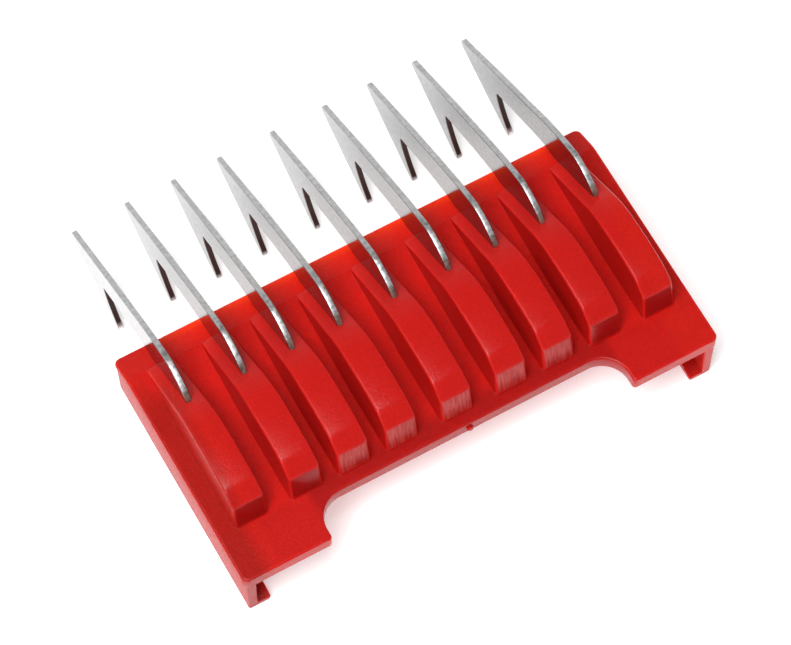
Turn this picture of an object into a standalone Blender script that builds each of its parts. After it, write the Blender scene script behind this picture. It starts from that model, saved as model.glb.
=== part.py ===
"""Slide-on guide comb for an animal clipper blade.

A red moulded body carries nine flat steel tines in ribs. The body slides over the
clipper blade: two side rails with inward lips hold the blade under the flat plate.
Metres. X is the width, +Y points to the tine tips, Z is up. The plate lies level,
and Z = 0 is the lowest point, the free ends of the tines' lower prongs.
"""
import math

import bmesh
import bpy

MM = 0.001

# Body plate
BODY_HALF_W = 27.0 * MM
PLATE_TOP = 9.9 * MM
PLATE_T = 1.9 * MM
FRONT_Y = 5.6 * MM
REAR_Y = -22.4 * MM
EDGE_R = 0.25 * MM
CORNER_R = 0.7 * MM
RAMP_LEN = 3.2 * MM
RAMP_DROP = 1.35 * MM

# Shallow cut-back in the middle of the plate's rear edge
RECESS_HALF_W = 17.15 * MM
RECESS_DEPTH = 4.1 * MM
RECESS_R = 3.0 * MM

# Side rails
RAIL_BOTTOM = 2.0 * MM
RAIL_INSET = 0.2 * MM
RAIL_DRAFT = 0.15 * MM
RAIL_INNER = 25.65 * MM
LIP_INNER = 24.2 * MM
LIP_T = 1.3 * MM
LEAD_IN_LEN = 2.4 * MM
RAIL_SHORT_REAR = 0.2 * MM
RAIL_SHORT_FRONT = 0.1 * MM

# Ribs: height of the rib's top above the plate along its length, front to rear.
# The front part carries the ramp's slope on upwards, and the rear face leans forwards.
RIB_TOP_HALF_W = 1.7 * MM
RIB_BASE_HALF_W = 1.82 * MM
RIB_TAPER = 0.25 * MM
RIB_EDGE_R = 0.32 * MM
RIB_REAR_R = 0.45 * MM
RIB_REAR_LEAN = 0.16
RIB_STATIONS = [(4.0, -0.78), (3.2, -0.38), (2.6, -0.08), (2.0, 0.27), (1.0, 0.85), (-0.6, 1.72),
                (-2.4, 2.68), (-4.1, 3.6), (-5.3, 4.28), (-7.0, 4.88), (-8.8, 5.1), (-10.8, 5.15),
                (-13.0, 5.0), (-14.4, 4.8), (-15.2, 4.5), (-16.03, 3.95), (-16.1, 3.9),
                (-16.25, 3.76), (-16.4, 3.6), (-16.48, 3.45)]

# Tines: nine, symmetric about the middle one, with a wide and a narrow pitch
PITCH_WIDE = 6.22 * MM
PITCH_NARROW = 5.39 * MM
TINE_T = 0.6 * MM
TINE_BEVEL = 0.05 * MM
OUTER_TINE_SHORT = 0.4 * MM
SLOT_GAP = 0.3 * MM

# Tine side outline (y, z) in mm, from the buried heel over the crest to the nose,
# round the lower prong and the open notch, and back along the arm's lower edge
TINE_OUTLINE = [(-5.0, 8.8), (-5.0, 12.2), (-4.2, 13.62), (-3.5, 14.32), (-2.67, 14.86),
                (-1.7, 15.24), (-0.87, 15.42), (0.0, 15.5), (0.9, 15.28), (2.7, 14.65),
                (5.2, 13.65), (9.2, 11.85), (14.2, 9.5), (22.15, 5.55), (22.2, 5.2),
                (22.05, 4.85), (17.5, 2.45), (12.85, 0.06), (12.55, 0.0), (12.3, 0.18),
                (12.3, 0.45), (13.6, 2.0), (14.6, 3.7), (15.05, 5.15), (14.5, 5.55),
                (12.2, 6.5), (8.7, 7.9), (5.2, 9.05), (4.2, 8.8)]

GATE_X = 0.6 * MM
GATE_SIZE = (0.8 * MM, 0.35 * MM, 0.7 * MM)


def clear_scene():
    for ob in list(bpy.data.objects):
        bpy.data.objects.remove(ob, do_unlink=True)


def material(name, colour, roughness, metallic):
    mat = bpy.data.materials.new(name)
    mat.use_nodes = True
    bsdf = mat.node_tree.nodes["Principled BSDF"]
    bsdf.inputs["Base Color"].default_value = (*colour, 1.0)
    bsdf.inputs["Roughness"].default_value = roughness
    bsdf.inputs["Metallic"].default_value = metallic
    return mat


def mesh_object(name, bm):
    bmesh.ops.remove_doubles(bm, verts=bm.verts, dist=1e-7)
    bmesh.ops.recalc_face_normals(bm, faces=bm.faces)
    mesh = bpy.data.meshes.new(name)
    bm.to_mesh(mesh)
    bm.free()
    ob = bpy.data.objects.new(name, mesh)
    bpy.context.scene.collection.objects.link(ob)
    return ob


def loft(name, loops):
    """Closed solid through loops that all have the same number of points."""
    bm = bmesh.new()
    rings = [[bm.verts.new(p) for p in loop] for loop in loops]
    n = len(rings[0])
    for a, b in zip(rings, rings[1:]):
        for i in range(n):
            j = (i + 1) % n
            bm.faces.new((a[i], a[j], b[j], b[i]))
    bm.faces.new(list(reversed(rings[0])))
    bm.faces.new(rings[-1])
    return mesh_object(name, bm)


def prism_x(name, outline, x0, x1):
    """Outline of (y, z) points, carried along X."""
    return loft(name, [[(x, y, z) for y, z in outline] for x in (x0, x1)])


def prism_y(name, outline, y0, y1):
    """Outline of (x, z) points, carried along Y."""
    return loft(name, [[(x, y, z) for x, z in outline] for y in (y0, y1)])


def box(name, lo, hi):
    outline = [(lo[1], lo[2]), (hi[1], lo[2]), (hi[1], hi[2]), (lo[1], hi[2])]
    return prism_x(name, outline, lo[0], hi[0])


def combine(target, others, operation):
    """Join or cut solids, and drop the helpers."""
    for other in others:
        mod = target.modifiers.new(operation.lower(), "BOOLEAN")
        mod.operation = operation
        mod.solver = "EXACT"
        mod.object = other
        deps = bpy.context.evaluated_depsgraph_get()
        mesh = bpy.data.meshes.new_from_object(target.evaluated_get(deps))
        target.modifiers.remove(mod)
        target.data = mesh
        bpy.data.objects.remove(other, do_unlink=True)


def arc(cx, cy, r, a0, a1, steps):
    return [(cx + r * math.cos(math.radians(a0 + (a1 - a0) * i / steps)),
             cy + r * math.sin(math.radians(a0 + (a1 - a0) * i / steps)))
            for i in range(steps + 1)]


def plate_outline(inset):
    """Half of the plate seen from above, mirrored; inset moves every edge inwards."""
    w, r, k = BODY_HALF_W - inset, CORNER_R - inset, RECESS_HALF_W + inset
    front, rear = FRONT_Y - inset, REAR_Y + inset
    recess = REAR_Y + RECESS_DEPTH + inset
    big = RECESS_R + inset
    half = arc(w - r, front - r, r, 90, 0, 3)
    half += arc(w - r, rear + r, r, 0, -90, 3)
    half += arc(k + 0.4 * MM, rear + 0.4 * MM, 0.4 * MM, 270, 180, 2)
    half += arc(k - big, recess - big, big, 0, 90, 8)
    return half + [(-x, y) for x, y in reversed(half)]


def make_plate():
    top, low = PLATE_TOP, PLATE_TOP - PLATE_T
    flat, eased = plate_outline(0.0), plate_outline(EDGE_R)
    mid = plate_outline(EDGE_R * 0.3)
    loops = [[(x, y, low) for x, y in eased],
             [(x, y, low + EDGE_R) for x, y in flat],
             [(x, y, top - EDGE_R) for x, y in flat],
             [(x, y, top - EDGE_R * 0.3) for x, y in mid],
             [(x, y, top) for x, y in eased]]
    return loft("comb_body", loops)


def make_rail(side):
    top = PLATE_TOP - PLATE_T + 0.3 * MM
    z0 = RAIL_BOTTOM
    outer_top = BODY_HALF_W - RAIL_INSET
    outer_low = outer_top - RAIL_DRAFT
    r = 0.35 * MM
    outline = [(outer_top, top), (outer_low, z0 + r), (outer_low - r * 0.3, z0 + r * 0.3),
               (outer_low - r, z0), (LIP_INNER + r, z0), (LIP_INNER, z0 + r),
               (LIP_INNER, z0 + LIP_T - r), (LIP_INNER + r, z0 + LIP_T),
               (RAIL_INNER, z0 + LIP_T), (RAIL_INNER, top)]
    outline = [(side * x, z) for x, z in outline]
    rail = prism_y("rail", outline, REAR_Y + RAIL_SHORT_REAR, FRONT_Y - RAIL_SHORT_FRONT)
    # The lip's rear end is ramped, so that the blade finds its way in
    y0 = REAR_Y - 1.0 * MM
    wedge = [(y0, z0 + 0.25 * MM), (REAR_Y + LEAD_IN_LEN, z0 + LIP_T + 0.01 * MM),
             (REAR_Y + LEAD_IN_LEN, z0 + LIP_T + 1.0 * MM), (y0, z0 + LIP_T + 1.0 * MM)]
    xs = sorted((side * (LIP_INNER - 1.0 * MM), side * RAIL_INNER))
    combine(rail, [prism_x("lead_in", wedge, *xs)], "DIFFERENCE")
    return rail


def make_rib(x):
    """Drafted rib with eased top edges, running up from the front ramp to the crown."""
    height = max(z for _, z in RIB_STATIONS) * MM
    draft = (RIB_BASE_HALF_W - RIB_TOP_HALF_W) / height
    rear_y, rear_z = RIB_STATIONS[-1]
    z_low = PLATE_TOP - 1.2 * MM
    r = RIB_EDGE_R
    loops = []
    for y, z in RIB_STATIONS:
        near_rear = max(0.0, RIB_REAR_R - (y - rear_y) * MM)
        narrowing = RIB_REAR_R - math.sqrt(RIB_REAR_R ** 2 - near_rear ** 2)
        lean = RIB_REAR_LEAN * max(0.0, min(1.0, (-14.4 - y) / 1.6))
        narrowing += RIB_TAPER * max(0.0, min(1.0, (y + 9.0) / 11.0))
        z_top = PLATE_TOP + z * MM
        top = RIB_TOP_HALF_W + draft * (height - z * MM) - narrowing
        low = RIB_TOP_HALF_W + draft * (height + 1.2 * MM) - narrowing
        half = [(low, z_low), (top, z_top - r), (top - 0.3 * r, z_top - 0.3 * r), (top - r, z_top)]
        loop = half + [(-a, b) for a, b in reversed(half)]
        loops.append([(x + a, y * MM - lean * (PLATE_TOP + rear_z * MM - b), b) for a, b in loop])
    return loft("rib", loops)


def tine_outline(short):
    """Side outline in metres; short trims the reach of an outer tine."""
    points = []
    for y, z in TINE_OUTLINE:
        y = y * MM
        beyond = max(0.0, min(1.0, (y - FRONT_Y) / (4.0 * MM)))
        points.append((y - short * beyond, z * MM))
    return points


def make_tine(index, x, steel):
    short = OUTER_TINE_SHORT if index in (1, 9) else 0.0
    name = "tine_%d" % index
    tine = prism_x(name, tine_outline(short), x - TINE_T / 2, x + TINE_T / 2)
    bevel = tine.modifiers.new("eased_edges", "BEVEL")
    bevel.width = TINE_BEVEL
    bevel.segments = 1
    bevel.limit_method = "ANGLE"
    bevel.angle_limit = math.radians(60)
    tine.data.materials.append(steel)
    return tine


def make_slot(x):
    """Room for one tine: its buried outline plus a small gap all round."""
    g = SLOT_GAP
    heel_y, heel_z = TINE_OUTLINE[0]
    outline = [(heel_y * MM - g, heel_z * MM - g), (heel_y * MM - g, 17.0 * MM),
               (FRONT_Y + 2.0 * MM, 17.0 * MM), (FRONT_Y + 2.0 * MM, heel_z * MM - g)]
    return prism_x("slot", outline, x - TINE_T / 2 - g, x + TINE_T / 2 + g)


def make_body(xs, plastic):
    body = make_plate()
    ramp = [(FRONT_Y + 1.0 * MM, PLATE_TOP - RAMP_DROP * (1 + 1.0 * MM / RAMP_LEN)),
            (FRONT_Y - RAMP_LEN, PLATE_TOP), (FRONT_Y - RAMP_LEN, PLATE_TOP + 1.0 * MM),
            (FRONT_Y + 1.0 * MM, PLATE_TOP + 1.0 * MM)]
    reach = BODY_HALF_W + 1.0 * MM
    combine(body, [prism_x("ramp", ramp, -reach, reach)], "DIFFERENCE")
    sx, sy, sz = GATE_SIZE
    y = REAR_Y + RECESS_DEPTH
    z = PLATE_TOP - PLATE_T * 0.5
    gate = box("gate", (GATE_X - sx / 2, y - sy, z - sz / 2), (GATE_X + sx / 2, y + 0.3 * MM, z + sz / 2))
    combine(body, [make_rail(-1), make_rail(1), gate] + [make_rib(x) for x in xs], "UNION")
    combine(body, [make_slot(x) for x in xs], "DIFFERENCE")
    body.name = "comb_body"
    body.data.materials.clear()
    body.data.materials.append(plastic)
    return body


def main():
    clear_scene()
    plastic = material("red_plastic", (0.60, 0.018, 0.014), 0.38, 0.0)
    steel = material("tine_steel", (0.62, 0.61, 0.59), 0.30, 1.0)
    a, b = PITCH_WIDE, PITCH_NARROW
    half = [a, a + b, a + 2 * b, 2 * a + 2 * b]
    xs = [-x for x in reversed(half)] + [0.0] + half
    make_body(xs, plastic)
    for i, x in enumerate(xs, 1):
        make_tine(i, x, steel)


main()
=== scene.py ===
"""Looks for a slide-on guide comb of an animal clipper blade.

A fine moulded body and nine fine steel tines replace the plain CAD nodes. Metres, in
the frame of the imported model: +Y points to the tine tips and Z is up.
"""
import math

import bmesh
import bpy
from mathutils import Matrix, Vector


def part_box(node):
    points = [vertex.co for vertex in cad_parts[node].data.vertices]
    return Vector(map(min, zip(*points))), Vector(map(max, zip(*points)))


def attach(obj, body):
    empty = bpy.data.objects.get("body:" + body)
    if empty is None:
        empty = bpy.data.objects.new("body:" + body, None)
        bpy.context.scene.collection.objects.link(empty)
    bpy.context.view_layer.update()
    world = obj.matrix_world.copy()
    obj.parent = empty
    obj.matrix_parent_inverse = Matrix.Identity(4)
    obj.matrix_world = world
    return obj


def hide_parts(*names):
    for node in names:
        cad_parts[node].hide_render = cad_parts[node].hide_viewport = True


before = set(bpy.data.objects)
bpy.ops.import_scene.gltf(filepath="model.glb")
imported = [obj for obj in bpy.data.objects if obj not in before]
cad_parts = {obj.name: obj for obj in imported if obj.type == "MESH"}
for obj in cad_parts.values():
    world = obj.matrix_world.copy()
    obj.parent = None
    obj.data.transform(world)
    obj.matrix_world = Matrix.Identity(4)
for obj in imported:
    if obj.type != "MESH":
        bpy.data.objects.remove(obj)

MM = 0.001

# Body, as in the CAD model
HALF_W = 27.0
PLATE_TOP = 9.9
PLATE_T = 1.9
FRONT_Y = 5.6
REAR_Y = -22.4
CORNER_R = 0.7
PLATE_EDGE_R = 0.22
RAMP_LEN = 3.2
RAMP_DROP = 1.35
RAMP_EASE = 0.5
RECESS_HALF_W = 17.15
RECESS_DEPTH = 4.1
RECESS_R = 3.0
TAB_R = 0.4
GATE_X = 0.6
GATE_R = 0.36
GATE_OUT = 0.33

# Side rails
RAIL_BOTTOM = 2.0
RAIL_INSET = 0.2
RAIL_DRAFT = 0.15
RAIL_INNER = 25.65
LIP_INNER = 24.2
LIP_T = 1.3
LIP_CHAMFER = 0.12
LEAD_IN_LEN = 2.4
LEAD_IN_EDGE = 0.25
RAIL_SHORT_REAR = 0.2
RAIL_SHORT_FRONT = 0.1
RAIL_R = 0.32
RAIL_END_R = 0.16
RAIL_BURIED = 0.3

# Ribs. RIB_TOP is the top's height above the plate at each y, front to rear, and
# RIB_REAR rounds it over into the rear face
RIB_TOP_HALF_W = 1.7
RIB_BASE_HALF_W = 1.82
RIB_TAPER = 0.25
RIB_TAPER_FROM_Y = -9.0
RIB_TAPER_OVER = 11.0
RIB_EDGE_R = 0.3
RIB_REAR_R = 0.45
RIB_REAR_LEAN = 0.16
RIB_LEAN_FROM_Y = -14.4
RIB_LEAN_OVER = 1.6
RIB_CROWN = 0.05
RIB_FOOT_R = 0.16
RIB_BURIED = 1.4
RIB_TOP = [(3.2, -0.62), (2.75, -0.27), (2.35, 0.03), (1.9, 0.32), (1.0, 0.87), (-0.6, 1.72),
           (-2.4, 2.68), (-4.1, 3.6), (-5.3, 4.28), (-7.0, 4.88), (-8.8, 5.1), (-10.8, 5.15),
           (-13.0, 5.0), (-14.4, 4.8), (-15.2, 4.48), (-15.9, 4.04)]
RIB_REAR = [(-16.02, 3.95), (-16.1, 3.89), (-16.2, 3.81), (-16.3, 3.72), (-16.38, 3.63),
            (-16.44, 3.53), (-16.48, 3.4)]

# Tines. The ninth is bent a little towards -X, and the two outer ones are shorter
TINES = 9
TINE_T = 0.62
TINE_EDGE_R = 0.09
OUTER_TINE_SHORT = 0.3
SHORTENED_OVER = 4.0
TINE_LEAN = {9: -0.027}

# Their side outline as runs of (y, z), smooth along a run and cornered between runs
CREST = [(-5.0, 12.2), (-4.65, 12.95), (-4.2, 13.62), (-3.5, 14.32), (-2.67, 14.86), (-1.7, 15.24),
         (-0.87, 15.42), (0.0, 15.49), (0.9, 15.28), (2.7, 14.65), (5.2, 13.65), (9.2, 11.85),
         (14.2, 9.5), (22.1, 5.65)]
NOSE = [(22.1, 5.65), (22.2, 5.25), (22.05, 4.85)]
LOWER_EDGE = [(22.05, 4.85), (17.5, 2.45), (12.85, 0.08)]
PRONG_END = [(12.85, 0.08), (12.55, 0.0), (12.32, 0.16), (12.34, 0.5)]
NOTCH = [(12.34, 0.5), (13.6, 2.05), (14.6, 3.75), (15.0, 4.95), (14.8, 5.4), (14.2, 5.68),
         (12.2, 6.5), (8.7, 7.9), (5.2, 9.05), (3.6, 9.2)]

# Colours of the plastic, among them painted glow and painted shade
RED_GLOW_TO_FRONT = [(0.0, (0.49, 0.008, 0.006)), (0.45, (0.60, 0.008, 0.004)),
                (0.8, (0.74, 0.014, 0.004)), (1.0, (0.92, 0.045, 0.005))]
RED_ENDS_WITHOUT_GLOW = (0.52, 0.010, 0.006)
RED_VALLEYS_LIT = (0.60, 0.009, 0.006)
RED_LEFT_STRIP_SHADE = (0.36, 0.008, 0.005)
RED_BEHIND_RIBS_SHADE = (0.37, 0.006, 0.005)
RED_FLANKS_SHADE = (0.38, 0.005, 0.004)
RED_WALLS_SHADE = (0.40, 0.006, 0.004)
RED_SCORED_REFLECTION = [(0.35, (0.31, 0.012, 0.011)), (0.65, (0.46, 0.045, 0.040))]
RED_REAR_OUTER_SHADE = (0.27, 0.004, 0.004)
RED_GLOW = (0.9, 0.02, 0.015)

# Where they fade in, as (none, full) positions in millimetres
GLOW_Y = (0.0, FRONT_Y - 0.1)
ENDS_X = (22.4, 23.6)
VALLEY_X = (25.6, 25.2)
VALLEY_REAR_Y = (-17.6, -16.4)
VALLEY_FRONT_Y = (2.8, 1.2)
VALLEY_Z = (PLATE_TOP + 2.0, PLATE_TOP)
LEFT_STRIP_X = (-23.4, -25.0)
LEFT_STRIP_Y = (2.0, -2.0)
BEHIND_RIBS_X = (17.4, 16.6)
BEHIND_RIBS_Y = (-15.2, -16.6)
BEHIND_RIBS_Z = (PLATE_TOP + 0.1, PLATE_TOP)
FLANK_X = (24.0, 23.0)
WALL_X = (26.3, 26.6)
INNER_RIB_X = (16.2, 13.8)
REAR_FACE_Y = (-17.6, -17.2)
REAR_FACE_Z = (PLATE_TOP + 0.1, PLATE_TOP + 0.5)

# Colours of the steel, among them painted shade and a painted reflection
STEEL_FLAT = [(0.3, 0.28), (0.7, 0.385)]
STEEL_CUT = [(0.3, 0.60), (0.7, 0.84)]
STEEL_NOTCH_SHADE = (0.07, 0.05, 0.045)
STEEL_OVER_BODY_REFLECTION = (0.22, 0.245, 0.245)
STEEL_CREST_SHADE = [(0.35, 0.26), (0.6, 0.60)]
STEEL_NEAR_RIB = [(0.35, (0.16, 0.12, 0.10)), (0.65, (0.40, 0.33, 0.28))]

# Where they fade in; OVER_BODY is the height of a line that falls by OVER_BODY_SLOPE
NOTCH_FRONT_Y = (15.6, 15.2)
NOTCH_REAR_Y = (12.1, 12.5)
NOTCH_Z = (5.9, 5.5)
OVER_BODY = (9.3, 9.0)
OVER_BODY_SLOPE = 0.41
CREST_SHADE_Y = (3.0, 0.5)
NEAR_RIB_Y = (-3.3, -3.4)

# Stage
FLOOR_R = 900
FLOOR_GAP = 0.01
PRONG_TOUCH_Y = 12.55
RAIL_TOUCH_Y = REAR_Y + 0.3
FLOOR_WHITE = (0.75, 0.75, 0.75)
SKY = [(0.0, 0.6), (0.45, 0.52), (0.8, 0.25), (1.0, 0.22)]

# Lamps, in metres and watts: name, place, size and power
LAMPS = [("key", (-0.19, -0.10, 0.50), (0.20, 0.42), 3.2),
         ("edge", (-0.25, 0.12, 0.46), (0.20, 0.20), 0.6)]
LAMP_AIM = (0, 0, 0.005)

# Camera, at the photograph's viewing angle
CAMERA_PLACE = (-83.431, -153.761, 373.333)
CAMERA_RIGHT = (0.872828, -0.488028, -0.000406)
CAMERA_AHEAD = (0.206719, 0.370465, -0.905551)
CAMERA_LENS = 182.05
CAMERA_SENSOR = 36.0


def share(value):
    return max(0.0, min(1.0, value))


def spline(points, steps):
    """Catmull-Rom curve through the points, ends included."""
    pts = [Vector(p) for p in points]
    pts = [2 * pts[0] - pts[1]] + pts + [2 * pts[-1] - pts[-2]]
    out = []
    for a, b, c, d in zip(pts, pts[1:], pts[2:], pts[3:]):
        for i in range(steps):
            t = i / steps
            out.append(0.5 * ((2 * b) + (c - a) * t + (2 * a - 5 * b + 4 * c - d) * t * t
                              + (3 * b - a - 3 * c + d) * t ** 3))
    out.append(pts[-2])
    return out


def arc(cx, cy, r, a0, a1, steps):
    """Points from angle a0 to a1, in degrees, both included."""
    return [Vector((cx + r * math.cos(math.radians(a0 + (a1 - a0) * i / steps)),
                    cy + r * math.sin(math.radians(a0 + (a1 - a0) * i / steps))))
            for i in range(steps + 1)]


def tidy_ring(points, least=0.012):
    """Drop points of a closed ring that lie on top of their neighbour."""
    ring = []
    for p in points:
        if not ring or (p - ring[-1]).length > least:
            ring.append(p)
    if (ring[0] - ring[-1]).length <= least:
        ring.pop()
    return ring


def inset(ring, d):
    """A closed ring of 2-D points, each edge moved inwards by d; tight corners don't run away."""
    area = sum(a.x * b.y - b.x * a.y for a, b in zip(ring, ring[1:] + ring[:1]))
    turn = 1.0 if area > 0 else -1.0
    out = []
    for a, b, c in zip(ring[-1:] + ring[:-1], ring, ring[1:] + ring[:1]):
        n1 = Vector((a.y - b.y, b.x - a.x)).normalized() * turn
        n2 = Vector((b.y - c.y, c.x - b.x)).normalized() * turn
        out.append(b + (n1 + n2) * (d / max(0.35, 1.0 + n1.dot(n2))))
    return out


def build(name, loops):
    """Closed solid through loops of 3-D points in millimetres."""
    bm = bmesh.new()
    rings = [[bm.verts.new(Vector(p) * MM) for p in loop] for loop in loops]
    n = len(rings[0])
    for a, b in zip(rings, rings[1:]):
        for i in range(n):
            j = (i + 1) % n
            bm.faces.new((a[i], a[j], b[j], b[i]))
    bm.faces.new(list(reversed(rings[0])))
    bm.faces.new(rings[-1])
    bmesh.ops.recalc_face_normals(bm, faces=bm.faces)
    mesh = bpy.data.meshes.new(name)
    bm.to_mesh(mesh)
    bm.free()
    ob = bpy.data.objects.new(name, mesh)
    bpy.context.scene.collection.objects.link(ob)
    return ob


def quarter_turn(r, steps):
    """Rounding with radius r: how far in and how far along, from the end face to the side."""
    turns = [math.radians(90 * k / steps) for k in range(steps + 1)]
    return [(r * (1 - math.sin(a)), r * (1 - math.cos(a))) for a in turns]


def eased_prism(name, ring, place, lo, hi, r, steps=4):
    """Ring of 2-D points carried from lo to hi, its two ends rounded with radius r.

    place turns (u, v, w) into a point, w being the position along the prism. A narrow
    border keeps each end face apart from its rounding.
    """
    border = 0.06
    rows = [(r + border, 0.0)] + quarter_turn(r, steps)
    out = [[place(p.x, p.y, lo + w) for p in inset(ring, d)] for d, w in rows]
    out += [[place(p.x, p.y, hi - w) for p in inset(ring, d)] for d, w in reversed(rows)]
    return build(name, out)


def combine(target, others, operation):
    """Join or cut solids, and drop the helpers."""
    for other in others:
        mod = target.modifiers.new(operation.lower(), "BOOLEAN")
        mod.operation = operation
        mod.solver = "EXACT"
        mod.object = other
        deps = bpy.context.evaluated_depsgraph_get()
        mesh = bpy.data.meshes.new_from_object(target.evaluated_get(deps))
        target.modifiers.remove(mod)
        target.data = mesh
        bpy.data.objects.remove(other, do_unlink=True)


# ---------------------------------------------------------------- body

def plate_ring():
    """The plate seen from above: rounded corners and the cut-back in its rear edge."""
    w, r, k, t = HALF_W, CORNER_R, RECESS_HALF_W, TAB_R
    recess = REAR_Y + RECESS_DEPTH
    half = arc(w - r, FRONT_Y - r, r, 90, 0, 8)
    half += arc(w - r, REAR_Y + r, r, 0, -90, 8)
    half += arc(k + t, REAR_Y + t, t, 270, 180, 6)
    half += arc(k - RECESS_R, recess - RECESS_R, RECESS_R, 0, 90, 20)
    return half + [Vector((-p.x, p.y)) for p in reversed(half)]


def ramp_fall(y):
    """How far the top surface has come down at y, eased where the ramp starts."""
    u = y - (FRONT_Y - RAMP_LEN)
    slope = RAMP_DROP / RAMP_LEN
    if u <= -RAMP_EASE:
        return 0.0
    if u < RAMP_EASE:
        return slope * (u + RAMP_EASE) ** 2 / (4 * RAMP_EASE)
    return slope * u


def make_plate():
    ring = plate_ring()
    low, top, border = PLATE_TOP - PLATE_T, PLATE_TOP, PLATE_EDGE_R + 0.1
    edge = quarter_turn(PLATE_EDGE_R, 4)
    rows = [(border, low)] + [(d, low + w) for d, w in edge]
    rows += [(d, top - w) for d, w in reversed(edge)] + [(border, top)]
    loops = [[(p.x, p.y, z) for p in inset(ring, d)] for d, z in rows]
    plate = build("comb_body_fine", loops)
    # Cut the top where the ramp eases in, then let it come down
    bm = bmesh.new()
    bm.from_mesh(plate.data)
    start = FRONT_Y - RAMP_LEN
    for k in range(-2, 3):
        y = (start + RAMP_EASE * k / 2) * MM
        bmesh.ops.bisect_plane(bm, geom=bm.verts[:] + bm.edges[:] + bm.faces[:],
                               plane_co=(0, y, 0), plane_no=(0, 1, 0))
    middle = (top - 0.6 * PLATE_T) * MM
    for v in bm.verts:
        if v.co.z > middle:
            v.co.z -= ramp_fall(v.co.y / MM) * MM
    bm.to_mesh(plate.data)
    bm.free()
    return plate


def make_rail(side):
    """Leg and inward lip, side being -1 for the left rail and 1 for the right."""
    z0, z1 = RAIL_BOTTOM, PLATE_TOP - PLATE_T + RAIL_BURIED
    wall_top, wall_low = HALF_W - RAIL_INSET, HALF_W - RAIL_INSET - RAIL_DRAFT
    r, lip = RAIL_R, RAIL_BOTTOM + LIP_T
    ring = [Vector((wall_top, z1))]
    ring += arc(wall_low - r, z0 + r, r, 0, -90, 6)
    ring += arc(LIP_INNER + r, z0 + r, r, 270, 180, 6)
    ring += arc(LIP_INNER + r, lip - r, r, 180, 90, 6)
    ring += [Vector((RAIL_INNER - LIP_CHAMFER, lip)), Vector((RAIL_INNER, lip + LIP_CHAMFER)),
             Vector((RAIL_INNER, z1))]
    ring = [Vector((side * p.x, p.y)) for p in ring]
    rail = eased_prism("rail", ring, lambda u, v, w: (u, w, v), REAR_Y + RAIL_SHORT_REAR,
                       FRONT_Y - RAIL_SHORT_FRONT, RAIL_END_R)
    # The lip's rear end is ramped, so that the blade finds its way in
    y0, y1 = REAR_Y - 1.0, REAR_Y + LEAD_IN_LEN
    wedge = [(y0, z0 + LEAD_IN_EDGE), (y1, lip + 0.01), (y1, lip + 1.0), (y0, lip + 1.0)]
    xs = sorted((side * (LIP_INNER - 1.0), side * RAIL_INNER))
    cutter = build("lead_in", [[(x, y, z) for y, z in wedge] for x in xs])
    combine(rail, [cutter], "DIFFERENCE")
    return rail


def rib_section(x, y, z_top, narrowing, lean):
    """One cross-section of a rib: drafted sides, eased top edges and a hollow foot."""
    height = max(z for _, z in RIB_TOP)
    draft = (RIB_BASE_HALF_W - RIB_TOP_HALF_W) / height
    r, foot = RIB_EDGE_R, RIB_FOOT_R
    top_z = PLATE_TOP + z_top

    def width(z):
        return RIB_TOP_HALF_W + draft * (height - (z - PLATE_TOP)) - narrowing

    half = [(width(PLATE_TOP - RIB_BURIED) + foot, PLATE_TOP - RIB_BURIED)]
    for p in arc(foot, foot, foot, 270, 180, 4):
        z = min(PLATE_TOP - 0.01 + p.y, top_z - r)
        half.append((width(z) + p.x, z))
    for p in arc(-r, -r, r, 0, 90, 6):
        half.append((width(top_z - r) + p.x, top_z + p.y))
    flat = half[-1][0]
    for k in (0.66, 0.33):
        half.append((flat * k, top_z + RIB_CROWN * (1 - k * k)))
    ring = half + [(0.0, top_z + RIB_CROWN)] + [(-a, z) for a, z in reversed(half)]
    rear_z = PLATE_TOP + RIB_REAR[-1][1]
    return [(x + a, y - lean * (rear_z - z), z) for a, z in ring]


def make_rib(x):
    """Rib whose flanks close in towards the front and round its rear corners."""
    stations = [(p.x, p.y) for p in spline(RIB_TOP, 6)] + RIB_REAR
    rear_y = RIB_REAR[-1][0]
    loops = []
    for y, z in stations:
        near_rear = min(RIB_REAR_R, max(0.0, RIB_REAR_R - (y - rear_y)))
        narrowing = RIB_REAR_R - math.sqrt(RIB_REAR_R ** 2 - near_rear ** 2)
        narrowing += RIB_TAPER * share((y - RIB_TAPER_FROM_Y) / RIB_TAPER_OVER)
        lean = RIB_REAR_LEAN * share((RIB_LEAN_FROM_Y - y) / RIB_LEAN_OVER)
        loops.append(rib_section(x, y, z, narrowing, lean))
    return build("rib", loops)


def make_gate():
    """Trace of the moulding gate on the cut-back edge."""
    y, z = REAR_Y + RECESS_DEPTH, PLATE_TOP - 0.5 * PLATE_T
    loops = []
    for r, out in [(GATE_R, -0.3), (GATE_R, GATE_OUT - 0.11), (GATE_R * 0.7, GATE_OUT)]:
        loops.append([(p.x, y - out, p.y) for p in arc(GATE_X, z, r, 0, 360, 12)[:-1]])
    return build("gate", loops)


def make_body(xs):
    body = make_plate()
    combine(body, [make_rail(-1), make_rail(1), make_gate()] + [make_rib(x) for x in xs], "UNION")
    return body


# ---------------------------------------------------------------- tines

def tine_ring(short):
    """The side outline; short trims the reach of an outer tine."""
    runs = [spline(run, 10) for run in (CREST, NOSE, LOWER_EDGE, PRONG_END, NOTCH)]
    points = [p for run in runs for p in run[:-1]] + [Vector(NOTCH[-1])]
    points = tidy_ring(points)
    return [Vector((p.x - short * share((p.x - FRONT_Y) / SHORTENED_OVER), p.y)) for p in points]


def make_tine(index, x):
    short = OUTER_TINE_SHORT if index in (1, TINES) else 0.0
    lean = TINE_LEAN.get(index, 0.0)
    return eased_prism("tine_%d_fine" % index, tine_ring(short),
                       lambda u, v, w: (w + lean * max(0.0, u - FRONT_Y), u, v),
                       x - TINE_T / 2, x + TINE_T / 2, TINE_EDGE_R, 3)


# ---------------------------------------------------------------- finish

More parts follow.
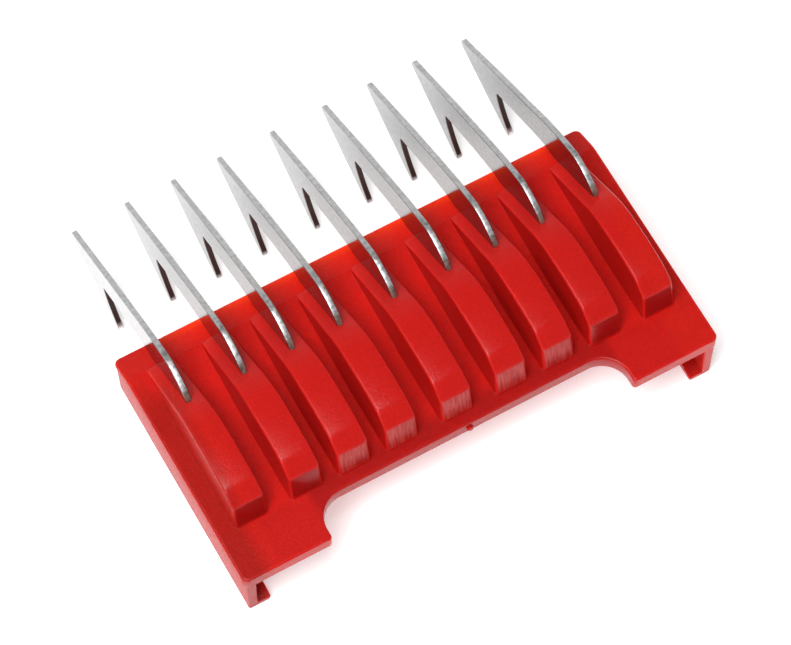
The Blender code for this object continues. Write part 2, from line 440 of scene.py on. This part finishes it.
def finish_mesh(ob, angle):
    """Smooth shading that keeps edges sharper than angle, and faces square to an axis flat."""
    mesh = ob.data
    mesh.shade_smooth()
    mesh.set_sharp_from_angle(angle=math.radians(angle))
    for face in mesh.polygons:
        face.use_smooth = max(abs(c) for c in face.normal) < 0.99999


def principled(name):
    """New material, with its node tree and its main shader."""
    mat = bpy.data.materials.new(name)
    mat.use_nodes = True
    return mat, mat.node_tree, mat.node_tree.nodes["Principled BSDF"]


def rgba(colour):
    """A link as it is, or a colour with full alpha."""
    return colour if isinstance(colour, bpy.types.NodeSocket) else (*colour, 1)


def node(tree, kind, inputs=None, **settings):
    """Add a shader node; inputs gives each named socket a link or a constant."""
    made = tree.nodes.new("ShaderNode" + kind)
    for key, value in settings.items():
        setattr(made, key, value)
    for key, value in (inputs or {}).items():
        if isinstance(value, bpy.types.NodeSocket):
            tree.links.new(value, made.inputs[key])
        else:
            made.inputs[key].default_value = value
    return made


def ramp(tree, fac, stops):
    """Colour ramp through (position, grey level or colour) stops."""
    made = node(tree, "ValToRGB", {"Fac": fac})
    elements = made.color_ramp.elements
    while len(elements) < len(stops):
        elements.new(0.5)
    for element, (position, colour) in zip(elements, stops):
        element.position = position
        element.color = rgba((colour,) * 3 if isinstance(colour, float) else colour)
    return made.outputs["Color"]


def between(tree, value, lo, hi):
    """0 at lo, 1 at hi, and clamped; hi may be lower than lo."""
    inputs = {"Value": value, "From Min": lo, "From Max": hi}
    return node(tree, "MapRange", inputs).outputs["Result"]


def span(tree, value, ends):
    """The same for a pair of positions in millimetres."""
    return between(tree, value, ends[0] * MM, ends[1] * MM)


def times(tree, a, b):
    return node(tree, "Math", {0: a, 1: b}, operation="MULTIPLY").outputs["Value"]


def blend(tree, fac, a, b, how="MIX"):
    inputs = {"Fac": fac, "Color1": rgba(a), "Color2": rgba(b)}
    return node(tree, "MixRGB", inputs, blend_type=how).outputs["Color"]


def size_of(tree, value):
    """The value without its sign."""
    return node(tree, "Math", {0: value}, operation="ABSOLUTE").outputs["Value"]


def add_grain(tree, bsdf, noise, strength, depth):
    bump = node(tree, "Bump", {"Height": noise, "Strength": strength, "Distance": depth * MM})
    tree.links.new(bump.outputs["Normal"], bsdf.inputs["Normal"])


def red_by_place(tree, xyz, aside):
    """The red of the plate and the rib tops, with painted glow and painted shade for the light inside the
    plastic.
    """
    # Painted glow: light passes through the thin front edge, so the red is painted brighter and more
    # orange towards it
    base = ramp(tree, span(tree, xyz["Y"], GLOW_Y), RED_GLOW_TO_FRONT)
    # The painted glow is left out at the two ends
    base = blend(tree, span(tree, aside, ENDS_X), base, RED_ENDS_WITHOUT_GLOW)
    # Painted light: it also bounces about in the valleys between the ribs, so they are painted brighter
    valley = times(tree, span(tree, xyz["Z"], VALLEY_Z),
                   times(tree, span(tree, xyz["Y"], VALLEY_REAR_Y), span(tree, xyz["Y"], VALLEY_FRONT_Y)))
    valley = times(tree, valley, span(tree, aside, VALLEY_X))
    base = blend(tree, valley, base, RED_VALLEYS_LIT)
    # Painted shade: less of it leaves by the strips at the left edge and behind the ribs, which are
    # painted darker
    left = times(tree, span(tree, xyz["X"], LEFT_STRIP_X), span(tree, xyz["Y"], LEFT_STRIP_Y))
    base = blend(tree, left, base, RED_LEFT_STRIP_SHADE)
    behind = times(tree, span(tree, xyz["Y"], BEHIND_RIBS_Y), span(tree, aside, BEHIND_RIBS_X))
    behind = times(tree, behind, span(tree, xyz["Z"], BEHIND_RIBS_Z))
    return blend(tree, behind, base, RED_BEHIND_RIBS_SHADE)


def red_rear_faces(tree, place, xyz, facing, aside, base):
    """The rear faces of the inner ribs are scored upright and get a painted reflection of the light
    behind the recess; the outer ones are painted in shade.
    """
    rear = times(tree, between(tree, facing["Y"], -0.8, -0.93),
                 times(tree, span(tree, xyz["Z"], REAR_FACE_Z),
                       span(tree, xyz["Y"], REAR_FACE_Y)))
    stretch = node(tree, "Mapping", {"Vector": place, "Scale": (1.0, 0.2, 0.07)}).outputs["Vector"]
    scores = node(tree, "TexNoise", {"Vector": stretch, "Scale": 5200.0, "Detail": 2.0})
    scored = ramp(tree, scores.outputs["Fac"], RED_SCORED_REFLECTION)
    # Inner ribs: scoring with a painted reflection; outer ribs: painted shade
    return blend(tree, rear, base, blend(tree, span(tree, aside, INNER_RIB_X), RED_REAR_OUTER_SHADE, scored))


def make_plastic():
    mat, tree, bsdf = principled("red_plastic_fine")
    coord = node(tree, "TexCoord").outputs
    place = coord["Object"]
    xyz = node(tree, "SeparateXYZ", {"Vector": place}).outputs
    facing = node(tree, "SeparateXYZ", {"Vector": coord["Normal"]}).outputs
    aside = size_of(tree, xyz["X"])
    base = red_by_place(tree, xyz, aside)
    # Painted shade: upright faces are painted a deeper red, and the side walls are matt
    upright = ramp(tree, size_of(tree, facing["X"]), [(0.75, 0.0), (0.95, 1.0)])
    flank = times(tree, upright, span(tree, aside, FLANK_X))
    base = blend(tree, flank, base, RED_FLANKS_SHADE)
    wall = times(tree, upright, span(tree, aside, WALL_X))
    base = blend(tree, wall, base, RED_WALLS_SHADE)
    tree.links.new(ramp(tree, wall, [(0.0, 0.18), (1.0, 0.02)]), bsdf.inputs["Specular IOR Level"])
    base = red_rear_faces(tree, place, xyz, facing, aside, base)
    grain = node(tree, "TexNoise", {"Vector": place, "Scale": 5000.0, "Detail": 3.0}).outputs["Fac"]
    base = blend(tree, 1.0, base, ramp(tree, grain, [(0.3, 0.80), (0.7, 1.0)]), "MULTIPLY")
    tree.links.new(base, bsdf.inputs["Base Color"])
    add_grain(tree, bsdf, grain, 0.6, 0.05)
    bsdf.inputs["Roughness"].default_value = 0.26
    # Painted glow: a weak red emission stands in for light inside the plastic
    bsdf.inputs["Emission Color"].default_value = rgba(RED_GLOW)
    bsdf.inputs["Emission Strength"].default_value = 0.03
    bsdf.inputs["Subsurface Weight"].default_value = 1.0
    bsdf.inputs["Subsurface Radius"].default_value = (1.0, 0.12, 0.06)
    bsdf.inputs["Subsurface Scale"].default_value = 0.6 * MM
    return mat


def make_steel():
    mat, tree, bsdf = principled("tine_steel_fine")
    coord = node(tree, "TexCoord").outputs
    xyz = node(tree, "SeparateXYZ", {"Vector": coord["Object"]}).outputs
    facing = node(tree, "SeparateXYZ", {"Vector": coord["Normal"]}).outputs
    cut = between(tree, size_of(tree, facing["X"]), 0.7, 0.4)
    spots = node(tree, "TexNoise", {"Vector": coord["Object"], "Scale": 2200.0,
                                    "Detail": 4.0}).outputs["Fac"]
    tone = blend(tree, cut, ramp(tree, spots, STEEL_FLAT), ramp(tree, spots, STEEL_CUT))
    # The punched faces of the notch are rough and painted dark as shade, the rest is tumbled
    notch = times(tree, times(tree, cut, span(tree, xyz["Y"], NOTCH_FRONT_Y)),
                  times(tree, span(tree, xyz["Y"], NOTCH_REAR_Y), span(tree, xyz["Z"], NOTCH_Z)))
    tone = blend(tree, notch, tone, STEEL_NOTCH_SHADE)
    # Near the body, below a slanting line, the flats look into the red plastic; a darker tone there is a
    # painted reflection
    line = node(tree, "Math", {0: xyz["Z"], 1: OVER_BODY_SLOPE, 2: xyz["Y"]}, operation="MULTIPLY_ADD")
    inward = times(tree, span(tree, line.outputs["Value"], OVER_BODY),
                   ramp(tree, cut, [(0.0, 1.0), (1.0, 0.0)]))
    tone = blend(tree, inward, tone, STEEL_OVER_BODY_REFLECTION)
    # Painted shade darkens the crest towards its end, against the lamp's highlight, and it is darker and
    # browner where it enters the rib
    crest_shade = times(tree, span(tree, xyz["Y"], CREST_SHADE_Y), cut)
    tone = blend(tree, crest_shade, tone, ramp(tree, spots, STEEL_CREST_SHADE))
    tone = blend(tree, span(tree, xyz["Y"], NEAR_RIB_Y), tone, ramp(tree, spots, STEEL_NEAR_RIB))
    tree.links.new(tone, bsdf.inputs["Base Color"])
    tree.links.new(ramp(tree, cut, [(0.0, 0.15), (1.0, 0.42)]), bsdf.inputs["Roughness"])
    add_grain(tree, bsdf, spots, 0.35, 0.03)
    bsdf.inputs["Metallic"].default_value = 1.0
    return mat


# ---------------------------------------------------------------- stage

def add_area(name, place, size, power):
    data = bpy.data.lights.new(name, "AREA")
    data.shape = "RECTANGLE"
    data.size, data.size_y = size
    data.energy = power
    ob = bpy.data.objects.new(name, data)
    ob.location = place
    ob.rotation_euler = (Vector(LAMP_AIM) - Vector(place)).to_track_quat("-Z", "Y").to_euler()
    bpy.context.scene.collection.objects.link(ob)


def make_floor():
    """Pale floor that touches the prong ends and the rails' rear ends."""
    fall = RAIL_BOTTOM / (PRONG_TOUCH_Y - RAIL_TOUCH_Y)
    ring = arc(0, 0, FLOOR_R, 0, 360, 96)[:-1]
    bm = bmesh.new()
    bm.faces.new([bm.verts.new(Vector((p.x, p.y, (PRONG_TOUCH_Y - p.y) * fall - FLOOR_GAP)) * MM)
                  for p in ring])
    mesh = bpy.data.meshes.new("floor")
    bm.to_mesh(mesh)
    bm.free()
    floor = bpy.data.objects.new("floor", mesh)
    bpy.context.scene.collection.objects.link(floor)
    mat, _, bsdf = principled("pale_floor")
    bsdf.inputs["Base Color"].default_value = rgba(FLOOR_WHITE)
    bsdf.inputs["Roughness"].default_value = 0.9
    bsdf.inputs["Emission Color"].default_value = (1, 1, 1, 1)
    bsdf.inputs["Emission Strength"].default_value = 0.45
    floor.data.materials.append(mat)


def make_light():
    """Soft sky that darkens overhead, a long lamp on the left and a weak one on the front edge."""
    world = bpy.data.worlds.new("studio")
    bpy.context.scene.world = world
    world.use_nodes = True
    tree = world.node_tree
    sky = node(tree, "TexCoord").outputs["Generated"]
    height = node(tree, "SeparateXYZ", {"Vector": sky}).outputs["Z"]
    background = tree.nodes["Background"]
    tree.links.new(ramp(tree, height, SKY), background.inputs["Color"])
    background.inputs["Strength"].default_value = 1.0
    for name, place, size, power in LAMPS:
        add_area(name, place, size, power)


def make_camera():
    right = Vector(CAMERA_RIGHT).normalized()
    ahead = Vector(CAMERA_AHEAD).normalized()
    up = right.cross(ahead).normalized()
    data = bpy.data.cameras.new("camera")
    data.sensor_width = CAMERA_SENSOR
    data.lens = CAMERA_LENS
    data.clip_start, data.clip_end = 0.01, 10.0
    cam = bpy.data.objects.new("camera", data)
    turn = Matrix((right, up, -ahead)).transposed().to_4x4()
    cam.matrix_world = Matrix.Translation(Vector(CAMERA_PLACE) * MM) @ turn
    bpy.context.scene.collection.objects.link(cam)
    bpy.context.scene.camera = cam


def main():
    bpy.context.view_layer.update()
    bpy.context.scene.view_settings.view_transform = "Standard"
    boxes = [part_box("tine_%d" % i) for i in range(1, TINES + 1)]
    xs = [(lo.x + hi.x) / 2 / MM for lo, hi in boxes]
    plastic, steel = make_plastic(), make_steel()
    body = make_body(xs)
    body.data.materials.clear()
    body.data.materials.append(plastic)
    finish_mesh(body, 35)
    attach(body, "root")
    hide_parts("comb_body")
    for i, x in enumerate(xs, 1):
        tine = make_tine(i, x)
        tine.data.materials.append(steel)
        finish_mesh(tine, 40)
        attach(tine, "root")
        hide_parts("tine_%d" % i)
    make_floor()
    make_light()
    make_camera()


main()
